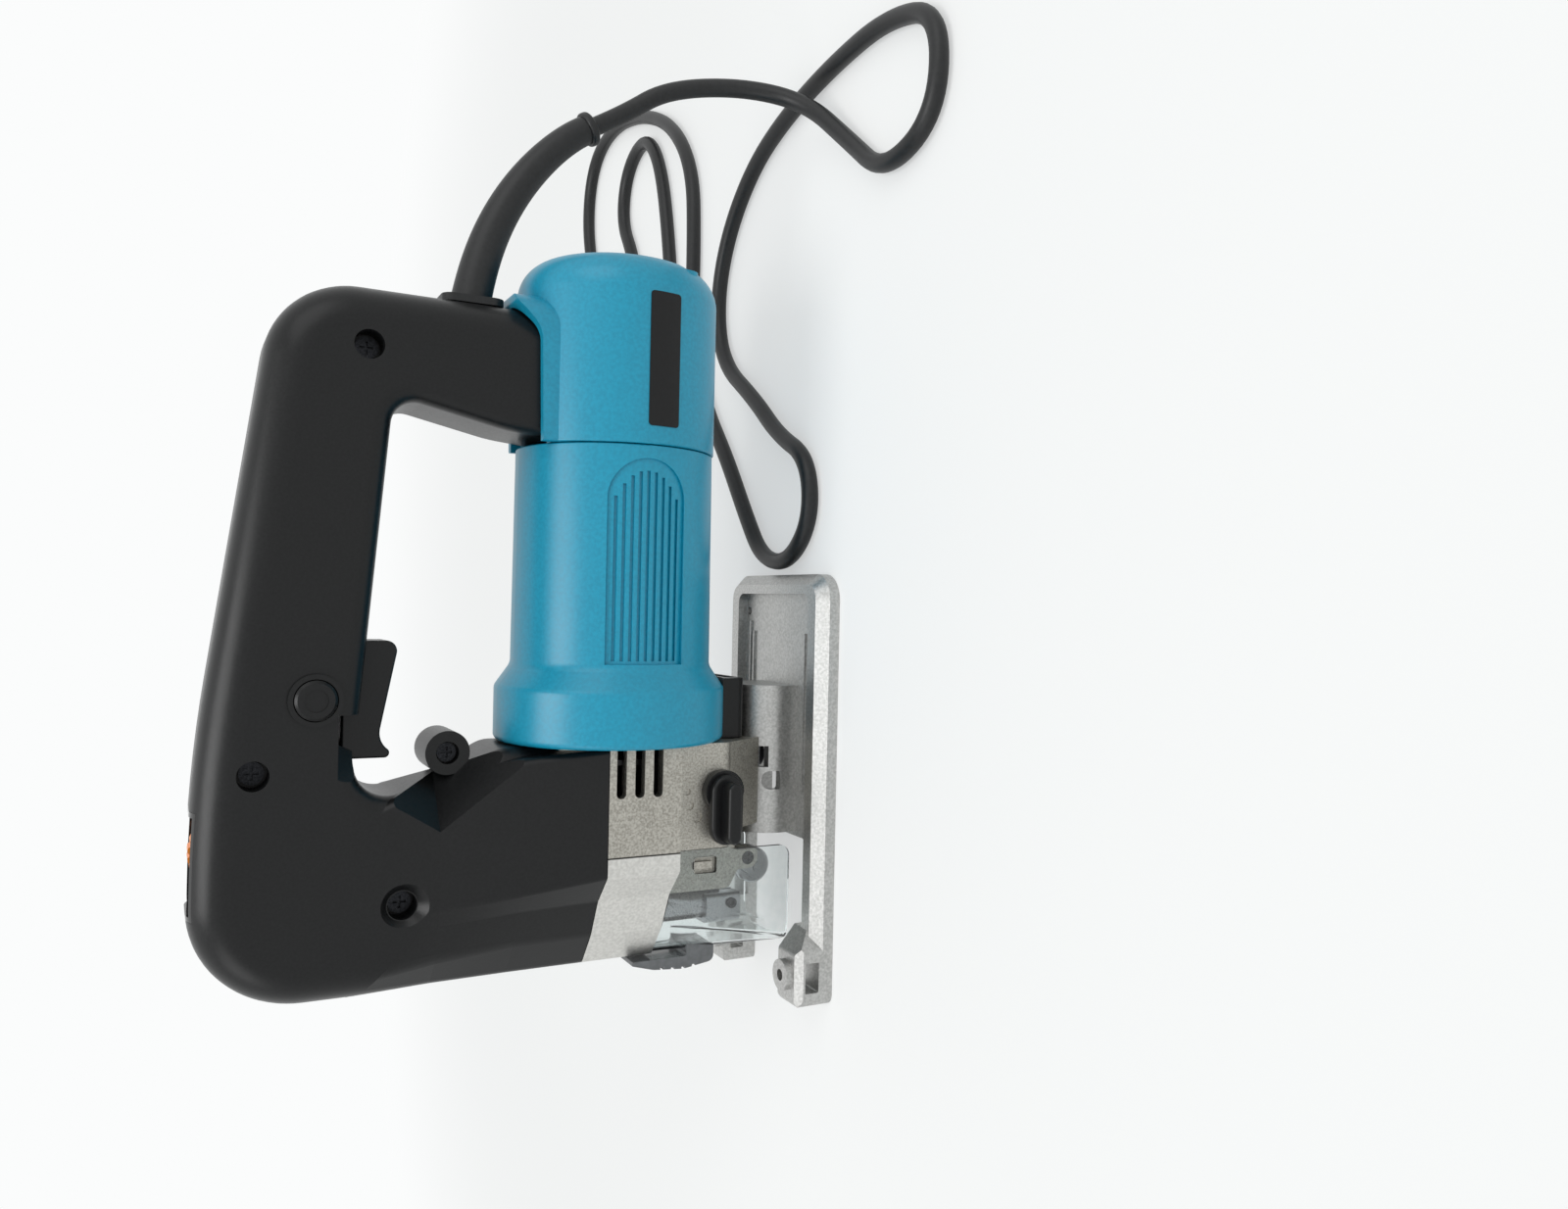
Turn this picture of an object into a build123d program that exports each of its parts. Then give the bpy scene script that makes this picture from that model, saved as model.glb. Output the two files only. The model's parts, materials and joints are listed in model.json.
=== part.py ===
"""Corded orbital jigsaw with a D-shaped handle, built as an assembly of separate pieces. Units: mm.
Front is -X, the left side is -Y, up is +Z. The base plate stands on z = 0."""
import math
import os

from build123d import *

# Main sizes
BASE_FRONT = -134.0
BASE_REAR = 24.5
BASE_HALF = 39.0
PRONG_IN = 24.0
TILT_Z = 10.0
HUMP_R = 15.0
MOTOR_Z = 74.0
MOTOR_R = 35.5
FLANGE_R = 41.5
FLANGE_X = -37.2
SEAM_X = 66.3
REAR_X = 134.0
SHELL_Z = 84.5
GRIP_HALF = 19.0
WALL = 3.0
FRONT_WALL = 2.3
SIDE_HALF = 30.4
NOSE_X = -75.0
NOSE_FRONT = -117.6
NOSE_LOW = 57.6
PLUNGER_X = -101.0
ROLLER_X = -88.0
ROLLER_Z = 16.0
RETAINER_X = -81.6
RETAINER_Z = 25.3
LEVER_X = -54.0
LEVER_Z = 41.5
GUARD_HALF = 19.7
GUARD_WALL = 1.8
BLOCK_HALF = GUARD_HALF - GUARD_WALL - 0.06
GUARD_LOW = 8.5
GUARD_TOP = 57.2
CRANK_R = 10.0
GEAR_MODULE = 1.0
PINION_TEETH = 10
GEAR_TEETH = 40
GEAR_Z = MOTOR_Z + GEAR_MODULE * (PINION_TEETH + GEAR_TEETH) / 2
CORD_R = 3.3
DIAL_X = -68.5
DIAL_Z = 199.5
DIAL_R = 12.0

os.makedirs("parts", exist_ok=True)


def save(name, shape):
    export_step(shape, f"parts/{name}.step")


def group(*solids):
    return Compound(list(solids))


def box(x0, x1, y0, y1, z0, z1):
    return Pos((x0 + x1) / 2, (y0 + y1) / 2, (z0 + z1) / 2) * Box(x1 - x0, y1 - y0, z1 - z0)


def rod_x(x0, x1, r, y=0.0, z=0.0):
    return Pos((x0 + x1) / 2, y, z) * Rot(0, 90, 0) * Cylinder(r, x1 - x0)


def rod_y(y0, y1, r, x, z):
    return Pos(x, (y0 + y1) / 2, z) * Rot(90, 0, 0) * Cylinder(r, y1 - y0)


def rod_z(z0, z1, r, x, y=0.0):
    return Pos(x, y, (z0 + z1) / 2) * Cylinder(r, z1 - z0)


def outline(points):
    """Closed face through corners (a, b, radius), straight between them."""
    n = len(points)
    runs = []
    for i in range(n):
        before = complex(*points[i - 1][:2])
        here = complex(*points[i][:2])
        after = complex(*points[(i + 1) % n][:2])
        radius = points[i][2]
        u = (before - here) / abs(before - here)
        v = (after - here) / abs(after - here)
        if radius == 0:
            runs.append((here, None, here))
            continue
        half = math.acos(max(-1, min(1, (u * v.conjugate()).real))) / 2
        mid = (u + v) / abs(u + v)
        centre = here + mid * radius / math.sin(half)
        reach = radius / math.tan(half)
        runs.append((here + u * reach, centre - mid * radius, here + v * reach))
    edges = []
    for i in range(n):
        start, middle, end = runs[i]
        if middle is not None:
            edges.append(ThreePointArc(*[(p.real, p.imag) for p in (start, middle, end)]))
        following = runs[(i + 1) % n][0]
        if abs(following - end) > 1e-6:
            edges.append(Line((end.real, end.imag), (following.real, following.imag)))
    return make_face(edges)


def slab_y(face, y0, y1):
    return Pos(0, y1, 0) * extrude(Plane.XZ * face, y1 - y0, dir=(0, -1, 0))


def slab_z(face, z0, z1):
    return Pos(0, 0, z0) * extrude(face, z1 - z0, dir=(0, 0, 1))


def slab_x(face, x0, x1):
    return Pos(x0, 0, 0) * extrude(Plane.YZ * face, x1 - x0, dir=(1, 0, 0))


def turned_x(points, z=MOTOR_Z, y=0.0):
    """Solid turned about a line along X from corners (x, r, radius)."""
    return Pos(0, y, z) * revolve(Plane.XZ * outline(points), Axis.X)


def tube_x(x0, x1, r_out, r_in, z=MOTOR_Z):
    return rod_x(x0, x1, r_out, 0, z) - rod_x(x0 - 1, x1 + 1, r_in, 0, z)


def stadium(x0, x1, half):
    end = half * 0.999
    return outline([(x0, -half, end), (x1, -half, end), (x1, half, end), (x0, half, end)])


def plan(x0, x1, half, front, rear):
    return outline([(x0, -half, front), (x1, -half, rear), (x1, half, rear), (x0, half, front)])


def inset(points, wall):
    """The same corners moved inwards by one wall."""
    n = len(points)
    lines = []
    for i in range(n):
        here = complex(*points[i][:2])
        way = complex(*points[(i + 1) % n][:2]) - here
        way /= abs(way)
        lines.append((here + 1j * way * wall, way))
    moved = []
    for i in range(n):
        (p, u), (q, v) = lines[i - 1], lines[i]
        corner = p + u * ((q - p) * v.conjugate()).imag / (u * v.conjugate()).imag
        moved.append((corner.real, corner.imag, max(points[i][2] - wall, 0.6)))
    return moved


def mirrored(side):
    """Closed corners from those of one side, (x, half width, radius), front to rear."""
    return [(x, -y, r) for x, y, r in side] + [(x, y, r) for x, y, r in reversed(side)]


def both(shape):
    return shape + mirror(shape, Plane.XZ)


def edges_near(shape, test):
    return shape.edges().filter_by(lambda e: test(e @ 0.5))


# Handle shells
def grip_form(points, half, r_outer, r_inner, low):
    body = slab_y(outline(points), -half, half)
    rim = body.edges().filter_by(lambda e: abs(abs((e @ 0.5).Y) - half) < 0.01)
    rim = rim.filter_by(lambda e: (e @ 0.5).Z > low or (e @ 0.5).X < -116 + half / 6)
    rim = rim.filter_by(lambda e: (e @ 0.5).Z > SHELL_Z + 0.5)

    def is_outer(e):
        m = e @ 0.5
        return m.X < -105 or m.Z > 183 or m.X > 100

    body = fillet(rim.filter_by(is_outer), r_outer)
    rim = body.edges().filter_by(lambda e: abs(abs((e @ 0.5).Y) - half) < 0.01)
    inner = rim.filter_by(lambda e: (e @ 0.5).Z > 118.5 and -60 < (e @ 0.5).X < 81 and (e @ 0.5).Z < 172)
    return fillet(inner, r_inner)


grip_corners = [
    (-117.5, SHELL_Z, 0), (-117.5, 212, 34), (-46, 212, 480), (113.4, 190, 28), (112.6, 104, 0),
    (68.5, 104, 0), (70, 118, 60), (78.2, 154.6, 8), (-58, 166.2, 11), (-37.6, 117, 10),
    (-37.6, SHELL_Z, 0)]
core_corners = [
    (-114.5, 80, 0), (-114.5, 209, 31), (-46.3, 209, 480), (110.4, 187.3, 25), (109.6, 108, 0), (73, 108, 0),
    (73, 117.6, 20), (81.6, 157.4, 5), (-60.2, 169.4, 8), (-41, 118, 7), (-41, 80, 0)]
# Front column: rounded tip, slanting cheeks, a crease, then flat sides that lean in upwards
bow_low = [(NOSE_FRONT, 4.5, 4), (-105, 14.2, 12), (-91.5, 21, 4), (-81.5, SIDE_HALF, 2.5)]
column = [
    (SHELL_Z, bow_low + [(-37.6, SIDE_HALF, 2)]),
    (112, [(-117.6, 4.8, 4), (-105, 14.6, 12), (-92.6, 20.4, 4), (-85.8, 25.6, 2.5), (-40.5, 25.6, 3)]),
    (138, [(-117.6, 6, 5), (-107, 15.2, 10), (-95, 18.7, 5), (-89.4, 20.6, 4), (-46.8, 20.6, 4)]),
    (150, [(-117.6, 8.2, 7), (-108.3, 16.5, 9), (-97.7, 18.5, 6), (-89.7, 19.5, 5), (-51.3, 19.5, 4)]),
    (165, [(-117.5, 11, 10), (-110, 18.2, 9), (-101, 18.6, 8), (-90, 18.9, 8), (-57, 18.9, 5)])]
outer_form = grip_form(grip_corners, GRIP_HALF, 13, 6, 104.5)
outer_form -= slab_y(outline([(-125, 80, 0), (-90, 80, 0), (-90, 139, 0), (-125, 170, 0)]), -40, 40)
outer_form += loft([Pos(0, 0, z) * outline(mirrored(side)) for z, side in column], ruled=True)


def rear_bevel(depth):
    """What the slanting rear corners of the column leave out, set in by a depth."""
    down = Vector(0.587, -0.558, 0.588)
    side = Vector(0.662, -0.662, -0.351)
    block = Pos(0, 0, 40) * Box(160, 160, 80)
    wedge = Plane(origin=Vector(-58, -22.3, 131) - down * depth, z_dir=down) * block
    wedge &= Plane(origin=Vector(-62, -20.4, 141) - side * depth, z_dir=side) * block
    wedge &= box(-80, -25, -60, 0, 104, 170)
    return wedge + mirror(wedge, Plane.XZ)


outer_form -= rear_bevel(0)
outer_form += rod_y(-9.5, 9.5, 7.4, -39.3, 134.1)
inner_form = grip_form(core_corners, GRIP_HALF - WALL, 10, 3, 108.5)
inner_form -= slab_y(outline([(-125, 70, 0), (-87, 70, 0), (-87, 142, 0), (-125, 176, 0)]), -40, 40)
inner_form += loft([
    Pos(0, 0, min(max(z, SHELL_Z - 1), 162)) * outline(inset(mirrored(side), FRONT_WALL))
    for z, side in column], ruled=True)
inner_form += slab_z(outline(inset(mirrored(column[0][1]), FRONT_WALL)), SHELL_Z - 2, SHELL_Z + 0.1)
inner_form -= rear_bevel(FRONT_WALL)
inner_form -= rod_y(-20, 20, 7.4, -39.3, 134.1)

screw_spots = [(-43.0, 194.4), (-87.2, 149.3), (92.8, 163.1)]
shell = outer_form - inner_form
for sx, sz in screw_spots:
    shell += rod_y(-18, 18, 6.2, sx, sz) & outer_form
shell += (both(box(-68, -62, 20, 29, 95, 103)) & outer_form) - rod_x(-70, -60, 23.4, 0, GEAR_Z)
shell += (rod_y(-20.2, -18, 8.3, -20.1, 176.9))
for sx, sz in screw_spots:
    shell -= rod_y(-40, -9, 4.7, sx, sz)
    shell -= rod_y(-10, 12, 2.0, sx, sz)
shell -= rod_y(-40, -5, 3.8, -39.3, 134.1)
shell -= rod_y(-6, 8.2, 2.0, -39.3, 134.1)
shell -= rod_y(-22, -12, 6.7, -20.1, 176.9)
shell -= box(-41.2, -0.8, -8.5, 8.5, 150, 171)
window_block = box(-87.7, -54.4, -12.4, 12.4, 203.4, 214)
shell -= box(-87.8, -54.3, -12.5, 12.5, 203.2, 215)
shell -= rod_x(100, 120, 7.2, 0, 127.8)
shell -= Pos(-87.2, -21.2, 149.3) * Rot(90, 0, 0) * Cone(5.0, 13.0, 8.0)
shell -= rod_x(-58.2, -36, 29.4, 0, MOTOR_Z)
save("handle_left", shell & box(-150, 150, -60, 0, 0, 230))
save("handle_right", shell & box(-150, 150, 0, 60, 0, 230))

screws = []
for sx, sz in screw_spots:
    screw = rod_y(-11.6, -9, 3.7, sx, sz) + rod_y(-9, 11, 1.9, sx, sz)
    for turn in (0, 90):
        screw -= Pos(sx, -11.6, sz) * Rot(0, turn, 0) * Box(4.2, 2.4, 0.9)
    screws.append(screw)
small = rod_y(-7.2, -5, 3.2, -39.3, 134.1) + rod_y(-5, 7.8, 1.9, -39.3, 134.1)
for turn in (0, 90):
    small -= Pos(-39.3, -7.2, 134.1) * Rot(0, turn, 0) * Box(3.8, 2.0, 0.8)
screws.append(small)
save("handle_screws", group(*screws))

# Speed dial window, a dish flush with the top of the handle
window = window_block & outer_form
window -= box(-86.1, -56, -10.8, 10.8, 206.2, 215)
window -= box(-81.2, -55.8, -5.3, 5.3, 200, 210)
save("dial_window", window)

# Speed controller with the two posts of the dial
controller = box(-84, -52, -11, 11, 177, 186)
controller += both(box(-74, -63, 5.6, 7.6, 186, 202.6))
controller -= rod_y(-9, 9, 2.05, DIAL_X, DIAL_Z)
controller = fillet(edges_near(controller, lambda m: abs(abs(m.Y) - 11) < 0.01 and abs(m.Z - 181.5) < 0.1), 2)
save("speed_controller", controller)

dial_face = Circle(DIAL_R)
for k in range(24):
    dial_face -= Rot(0, 0, 15 * k) * Pos(DIAL_R + 0.35, 0) * Circle(0.95)
dial = Pos(DIAL_X, 4.4, DIAL_Z) * extrude(Plane.XZ * dial_face, 8.8, dir=(0, -1, 0))
dial += rod_y(-7.5, 7.5, 2.0, DIAL_X, DIAL_Z)
save("speed_dial", dial)

# Switch and its controls
switch = box(-36, 2, -9.5, 9.5, 174.6, 196)
switch = fillet(switch.edges().filter_by(Axis.Y), 1.5)
switch -= rod_z(170, 186, 3.3, -20)
switch += both(box(-30, -4, 9.5, 10.3, 186, 192))
save("switch_body", switch)

trigger = slab_y(outline([
    (-40.3, 150.0, 1.6), (-34.6, 156.4, 7), (-1.7, 150.0, 3.5), (-1.7, 168, 1), (-40.3, 168, 1)]), -8, 8)
trigger = fillet(edges_near(trigger, lambda m: abs(abs(m.Y) - 8) < 0.01 and m.Z < 158), 1.0)
trigger += rod_z(167.5, 178, 3.0, -20)
save("trigger", trigger)

button = rod_y(-21.2, -13.4, 6.35, -20.1, 176.9)
button = chamfer(edges_near(button, lambda m: m.Y < -21), 0.8)
button -= rod_y(-22, -20.7, 3.6, -20.1, 176.9)
save("lock_button", button)

# Motor housing
motor = turned_x([
    (FLANGE_X, FLANGE_R, 2.2), (-18, FLANGE_R, 3), (-10, 36, 5), (SEAM_X, MOTOR_R, 0.6),
    (SEAM_X, 32.5, 0), (FLANGE_X, 32.5, 0)])
panel = slab_y(outline([(-60, 60, 0), (61.7, 60, 13.9), (61.7, 88, 13.9), (-60, 88, 0)]), -60, 0)
panel = (panel & box(-8.7, 70, -60, 0, 50, 100)) - rod_x(-20, 80, 34.75, 0, MOTOR_Z)
grooves = []
for k in range(9):
    z = MOTOR_Z + 2.75 * (k - 4)
    reach = 57.5 - 9.0 * (abs(k - 4) / 4) ** 2.2
    grooves.append(box(-7.5, reach, -60, 0, z - 0.6, z + 0.6))
grooves = Part() + grooves
grooves -= rod_x(-20, 80, 33.85, 0, MOTOR_Z)
motor -= both(panel)
motor -= both(grooves)
bridge = tube_x(62.2, 80, 14.5, 11.02) + tube_x(76.8, 80, 14.5, 2)
bridge += box(61.8, SEAM_X, -6, 6, MOTOR_Z + 13, MOTOR_Z + 33)
bridge += box(61.8, SEAM_X, -6, 6, MOTOR_Z - 33, MOTOR_Z - 13)
motor += bridge & (rod_x(60, 82, 33, 0, MOTOR_Z))
for side in (-1, 1):
    post = rod_x(52, SEAM_X, 5, side * 23, MOTOR_Z - 16) & rod_x(40, 80, 33, 0, MOTOR_Z)
    motor += post - rod_x(50, 70, 1.9, side * 23, MOTOR_Z - 16)
save("motor_housing", motor)

# Rear cover with the seat of the handle foot
cover = turned_x([
    (SEAM_X + 0.3, 36, 0.6), (REAR_X - 2.5, 36, 13), (REAR_X, 20, 8), (REAR_X, 0, 0), (REAR_X - 3, 0, 0),
    (REAR_X - 3.2, 33, 10), (SEAM_X + 0.3, 33, 0)])
collar = slab_z(outline([
    (SEAM_X + 0.3, -22.4, 1), (117.4, -22.4, 13), (117.4, 22.4, 13), (SEAM_X + 0.3, 22.4, 1)]), 90, 118)
collar &= slab_y(outline([
    (60, 80, 0), (120, 80, 0), (118, 115.8, 2), (113.5, 115.8, 3.2), (104, 108.2, 11),
    (60, 107.2, 0)]), -40, 40)
collar -= rod_x(50, 130, 33, 0, MOTOR_Z)
cover += collar
foot = slab_z(outline([
    (60, -19.3, 0), (113.0, -19.3, 12), (113.0, 19.3, 12), (60, 19.3, 0)]), 103.8, 140)
cover -= foot
for k in range(-2, 3):
    tall = 15 - abs(k)
    cover -= box(REAR_X - 8, REAR_X + 2, 6.4 * k - 1.3, 6.4 * k + 1.3, MOTOR_Z - tall, MOTOR_Z + tall)
for side in (-1, 1):
    post = rod_x(SEAM_X + 0.3, 130, 5.2, side * 23, MOTOR_Z - 16) & rod_x(60, 131, 34, 0, MOTOR_Z)
    cover += post
    cover -= rod_x(118, 140, 4.0, side * 23, MOTOR_Z - 16)
    cover -= rod_x(60, 120, 2.0, side * 23, MOTOR_Z - 16)
save("rear_cover", cover)

cover_screws = []
for side in (-1, 1):
    screw = rod_x(118, 120.8, 3.5, side * 23, MOTOR_Z - 16) + rod_x(54, 118, 1.85, side * 23, MOTOR_Z - 16)
    cover_screws.append(screw)
save("cover_screws", group(*cover_screws))

# Field of the motor
field = tube_x(2, 42, 32.45, 20.4)
field -= both(box(0, 44, 19, 28.4, MOTOR_Z - 8, MOTOR_Z + 8))
save("field_core", field)
coils = []
for s in (-1, 1):
    arch = tube_x(-5, 1.8, 28, 21.6) + tube_x(42.2, 49, 28, 21.6)
    arch &= box(-10, 60, -40, 40, min(MOTOR_Z + s, MOTOR_Z + s * 40), max(MOTOR_Z + s, MOTOR_Z + s * 40))
    bars = both(box(-5, 49, 21.9, 27, min(MOTOR_Z + s, MOTOR_Z + s * 7), max(MOTOR_Z + s, MOTOR_Z + s * 7)))
    coils.append(arch + bars)
save("field_coils", group(*coils))
holders = []
brushes = []
for s in (-1, 1):
    y0, y1 = sorted((s * 15, s * 30.5))
    holder = box(51, 61, y0, y1, MOTOR_Z - 5, MOTOR_Z + 5)
    holder -= box(52.5, 59.5, y0 - 1, y1 + 1, MOTOR_Z - 3.5, MOTOR_Z + 3.5)
    holders.append(holder)
    y0, y1 = sorted((s * 11.9, s * 26))
    brushes.append(box(52.7, 59.3, y0, y1, MOTOR_Z - 3.3, MOTOR_Z + 3.3))
save("brush_holders", group(*holders))
save("carbon_brushes", group(*brushes))
save("rear_bearing", tube_x(67.4, 76.4, 11.0, 4.03))
save("front_bearing", tube_x(-69.4, -60.4, 13.0, 5.03))
baffle = turned_x([(-35.5, 32.4, 0), (-28, 32.4, 0), (-28, 30.4, 0), (-33.5, 24, 0), (-35.5, 24, 0)])
save("air_baffle", baffle)


# Gear teeth
def tooth_outline(teeth, module, first):
    angle = math.radians(25)
    pitch_r = teeth * module / 2
    base_r = pitch_r * math.cos(angle)
    tip_r = pitch_r + 0.8 * module
    root_r = pitch_r - 1.1 * module
    thick = (math.pi / 2 - 0.16) * module / pitch_r / 2
    involute = math.tan(angle) - angle
    low = max(base_r, root_r)
    flank = []
    for i in range(4):
        r = low + (tip_r - low) * i / 3
        a = math.acos(min(1, base_r / r))
        flank.append((r, thick + involute - math.tan(a) + a))
    if root_r < low:
        flank.insert(0, (root_r, flank[0][1]))
    points = []
    for k in range(teeth):
        centre = first + 2 * math.pi * k / teeth
        for r, half in flank:
            points.append((r * math.cos(centre - half), r * math.sin(centre - half)))
        for r, half in reversed(flank):
            points.append((r * math.cos(centre + half), r * math.sin(centre + half)))
    return make_face(Polyline(*points, close=True))


# Armature
pinion = slab_x(tooth_outline(PINION_TEETH, GEAR_MODULE, math.pi / 2), -86, -73.5)
shaft = turned_x([
    (-74.5, 0, 0), (-74.5, 3.6, 0), (-70, 3.6, 0), (-70, 5, 0), (-59, 5, 0), (-59, 6, 0),
    (-41.5, 6, 0), (-41.5, 7, 0), (48, 7, 0), (48, 6, 0), (62, 6, 0), (62, 4, 0), (76.2, 4, 0.6),
    (76.2, 0, 0)])
save("armature_shaft", shaft + Pos(0, 0, MOTOR_Z) * pinion)
core_face = Circle(19.5) - Circle(7.0)
for k in range(12):
    core_face -= Rot(0, 0, 30 * k) * (Pos(19, 0) * Rectangle(2.4, 1.6) + Pos(14.5, 0) * Rectangle(7.4, 3.2))
save("armature_core", Pos(0, 0, MOTOR_Z) * slab_x(core_face, 2, 42))
turns = turned_x([(-6, 8, 2), (-6, 17, 3), (1.9, 18, 1), (1.9, 8, 0)])
turns += turned_x([(42.1, 8, 0), (42.1, 18, 1), (47.6, 16, 3), (47.6, 8, 2)])
turns -= rod_x(-10, 60, 7.0, 0, MOTOR_Z)
for k in range(12):
    strand = Rot(30 * k, 0, 0) * box(1.5, 42.5, 11.2, 17.6, -1.4, 1.4)
    turns += Pos(0, 0, MOTOR_Z) * strand
save("armature_windings", turns)
comm_face = Circle(11.5) - Circle(6.0)
for k in range(24):
    comm_face -= Rot(0, 0, 15 * k + 7.5) * Pos(11.3, 0) * Rectangle(1.6, 0.5)
save("commutator", Pos(0, 0, MOTOR_Z) * slab_x(comm_face, 48.6, 61.6))
fan = tube_x(-44, -42.2, 25.4, 6.0) + tube_x(-56, -42.2, 9.0, 6.0)
for k in range(11):
    blade = Rot(360 * k / 11, 0, 0) * (Pos(-49.5, 16.5, 0) * Rot(28, 0, 0) * Box(11, 17, 1.4))
    fan += (Pos(0, 0, MOTOR_Z) * blade) & tube_x(-56, -42, 25.4, 6.0)
save("cooling_fan", fan)

# Gear housing
gearbox = box(NOSE_X, FLANGE_X, -SIDE_HALF, SIDE_HALF, NOSE_LOW, 84.2)
lower = slab_x(outline([
    (-28, 58.5, 0), (-28, 36, 5), (28, 36, 5), (28, 58.5, 0)]), NOSE_X, FLANGE_X)
gearbox += lower
gearbox += rod_x(NOSE_X, -58, 23.4, 0, GEAR_Z)
gearbox += rod_x(-60, FLANGE_X, 29, 0, MOTOR_Z) & box(-60, FLANGE_X, -29, 29, 60, 110)
gearbox += slab_y(outline([
    (-92, 66, 0), (-92, 33, 3), (-85.5, 29.5, 1), (-85.5, 21.4, 3.8), (-78.4, 21.4, 1.5),
    (-78.4, 30.5, 1), (-74, 30.5, 2), (-71, 34, 2), (-71, 66, 0)]), -BLOCK_HALF, BLOCK_HALF)
gearbox += rod_z(58, 72, 9.6, PLUNGER_X) + box(PLUNGER_X, -88, -9.6, 9.6, 58, 72)
saddle = slab_x(outline([(-12, 18, 0), (-24, 36.5, 0), (24, 36.5, 0), (12, 18, 0)]), -70, -37.6)
gearbox += saddle - rod_x(-80, -30, HUMP_R + 0.3, 0, TILT_Z)
gearbox -= rod_x(-58, -30, 27, 0, MOTOR_Z)
gearbox -= rod_x(-69.5, -50, 13.0, 0, MOTOR_Z)
gearbox -= rod_x(-90, -60, 8, 0, MOTOR_Z)
gearbox -= rod_x(-78, -70, 21.6, 0, GEAR_Z)
gearbox -= rod_x(-72, -50, 5.0, 0, GEAR_Z)
for z in (79.9, 73.2, 66.5):
    slot = slab_y(outline([
        (-54.8, z - 1.75, 1.7), (-30, z - 1.75, 0), (-30, z + 1.75, 0), (-54.8, z + 1.75, 1.7)]), -40, 40)
    gearbox -= slot & both(box(-60, FLANGE_X + 1, 24, 40, 50, 90))
gearbox -= box(-95, -77.2, -9.6, 9.6, 15, 33)
gearbox -= rod_y(-20, 20, 2.5, RETAINER_X, RETAINER_Z)
gearbox -= rod_z(50, 80, 7.6, PLUNGER_X)
gearbox -= rod_y(-40, -4, 4.05, LEVER_X, LEVER_Z)
gearbox -= rod_z(10, 48, 3.02, -45)
for k, r in ((0, 2.1), (1, 1.7), (2, 1.3)):
    a = math.radians(45 + 22.5 * k)
    gearbox -= rod_y(-30, -27.4, r, LEVER_X - 13 * math.cos(a), LEVER_Z + 13 * math.sin(a))
gearbox += both(box(-84, -81.4, 17.5, 19.3, 40.3, 47.5))
save("gear_housing", gearbox)

# Nose cover
nose_side = bow_low + [(NOSE_X - 0.1, SIDE_HALF, 0.3)]
nose = slab_z(outline(mirrored(nose_side)), NOSE_LOW, 84.2)
cavity = slab_z(outline(inset(mirrored(bow_low + [(-68, SIDE_HALF, 0.3)]), 2.4)), 50, 81.8)
nose -= cavity
nose -= (Pos(0, 0, 8) * cavity) & box(-120, -92.8, -30, 30, 80, 90)
nose += turned_x([
    (-92.6, 14.4, 0), (-92.6, 16.4, 0), (-84.6, 23.4, 0), (NOSE_X, 23.4, 0), (NOSE_X, 21.6, 0),
    (-84.4, 21.6, 0)], z=GEAR_Z)
nose += rod_z(118, 140, 9.4, PLUNGER_X) + rod_z(139, 160, 7.2, PLUNGER_X)
nose += box(-98, -78, -8, 8, 119, 128)
nose -= turned_x([
    (-99, 0, 0), (-99, 14.4, 0), (-92.6, 14.4, 0), (-84.4, 21.6, 0), (NOSE_X + 1, 21.6, 0),
    (NOSE_X + 1, 0, 0)], z=GEAR_Z)
nose -= rod_x(-95, -70, 8, 0, MOTOR_Z)
nose -= rod_z(115, 131.7, 7.6, PLUNGER_X) + rod_z(130, 158, 6.3, PLUNGER_X)
save("nose_cover", nose)

axle = rod_x(-86.4, -58, 5.0, 0, GEAR_Z) - tube_x(-85.6, -84.6, 7, 4.3, GEAR_Z)
save("gear_axle", axle)
save("axle_ring", tube_x(-85.55, -84.65, 6.2, 4.3, GEAR_Z))
save("lower_bush", rod_z(60.6, 71.6, 7.58, PLUNGER_X) - rod_z(50, 80, 5.53, PLUNGER_X))
save("upper_bush", rod_z(120, 131.6, 7.58, PLUNGER_X) - rod_z(110, 140, 5.53, PLUNGER_X))
save("rod_seal", rod_z(58.2, 60.5, 7.55, PLUNGER_X) - rod_z(50, 80, 5.58, PLUNGER_X))

# Crank gear
first_gap = -math.pi / 2 + math.pi / GEAR_TEETH
crank = Pos(0, 0, GEAR_Z) * slab_x(tooth_outline(GEAR_TEETH, GEAR_MODULE, first_gap), -84, -75.5)
crank += rod_x(-75.6, -71, 10, 0, GEAR_Z)
crank -= rod_x(-90, -60, 5.05, 0, GEAR_Z)
crank -= rod_x(-85, -70, 3.0, CRANK_R, GEAR_Z)
for a in (60, 120, 240, 300):
    hole_y = 13.5 * math.cos(math.radians(a))
    crank -= rod_x(-90, -70, 2.6, hole_y, GEAR_Z + 13.5 * math.sin(math.radians(a)))
save("crank_gear", crank)
save("crank_pin", rod_x(-93.1, -75.6, 3.0, CRANK_R, GEAR_Z))
weight = tube_x(-88.6, -84, 16.6, 9.5, GEAR_Z) & box(-95, -80, -20, -2.5, 60, 140)
save("balance_weight", weight)

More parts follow.
